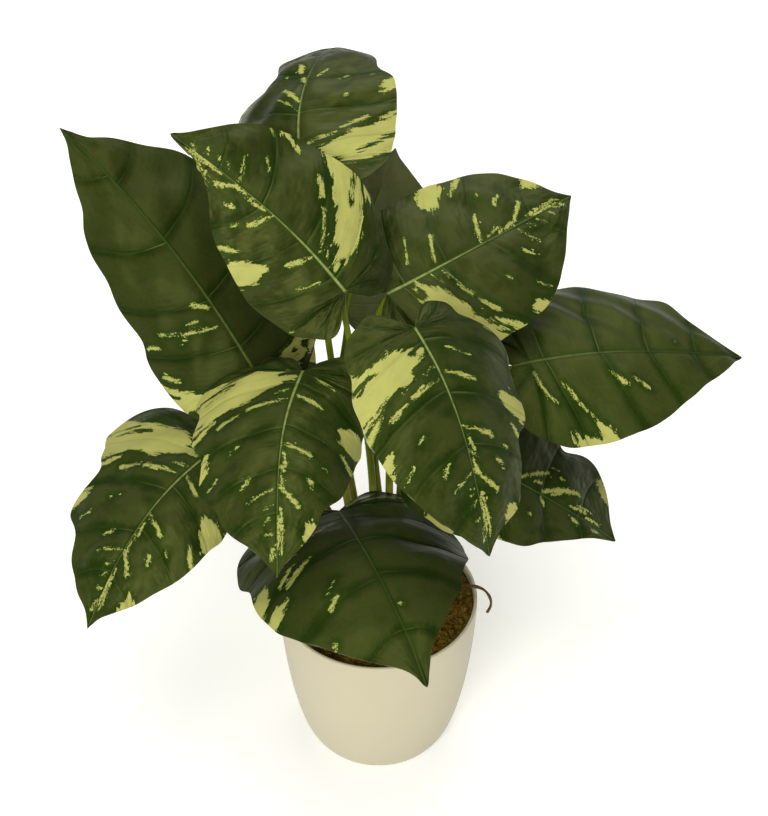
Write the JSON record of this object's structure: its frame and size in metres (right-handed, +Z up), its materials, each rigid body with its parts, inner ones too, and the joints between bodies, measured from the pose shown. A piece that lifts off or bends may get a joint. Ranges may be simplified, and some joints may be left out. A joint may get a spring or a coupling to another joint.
{
  "type": "potted pothos plant",
  "caption": "Bushy house plant with large, heart-shaped, cream-marbled leaves on thin upright stalks, in a plain round pot that tapers to its foot.",
  "frame": {"origin": "centre of the pot's foot, on the surface that it stands on", "axes": "+Z up; -Y towards the front of the plant, where one large leaf hangs over the rim; +X to its right"},
  "size_m": [0.4311, 0.376, 0.443],
  "materials": {
    "pot": "satin",
    "soil": "matte",
    "aerial_root": "matte",
    "leaf": "satin",
    "stalk": "satin"
  },
  "bodies": {
    "root": {"pot": "pot", "soil": "soil", "aerial_root": "aerial_root", "leaf_left": "leaf", "leaf_upper_left": "leaf", "leaf_top": "leaf", "leaf_upper_right": "leaf", "leaf_right": "leaf", "leaf_front_right": "leaf", "leaf_front_left": "leaf", "leaf_low_left": "leaf", "leaf_low_front": "leaf", "leaf_low_right": "leaf", "leaf_back": "leaf", "leaf_back_left": "leaf", "petiole_left": "stalk", "petiole_upper_left": "stalk", "petiole_top": "stalk", "petiole_upper_right": "stalk", "petiole_right": "stalk", "petiole_front_right": "stalk", "petiole_front_left": "stalk", "petiole_low_left": "stalk", "petiole_low_front": "stalk", "petiole_low_right": "stalk", "petiole_back": "stalk", "petiole_back_left": "stalk"}
  },
  "joints": []
}
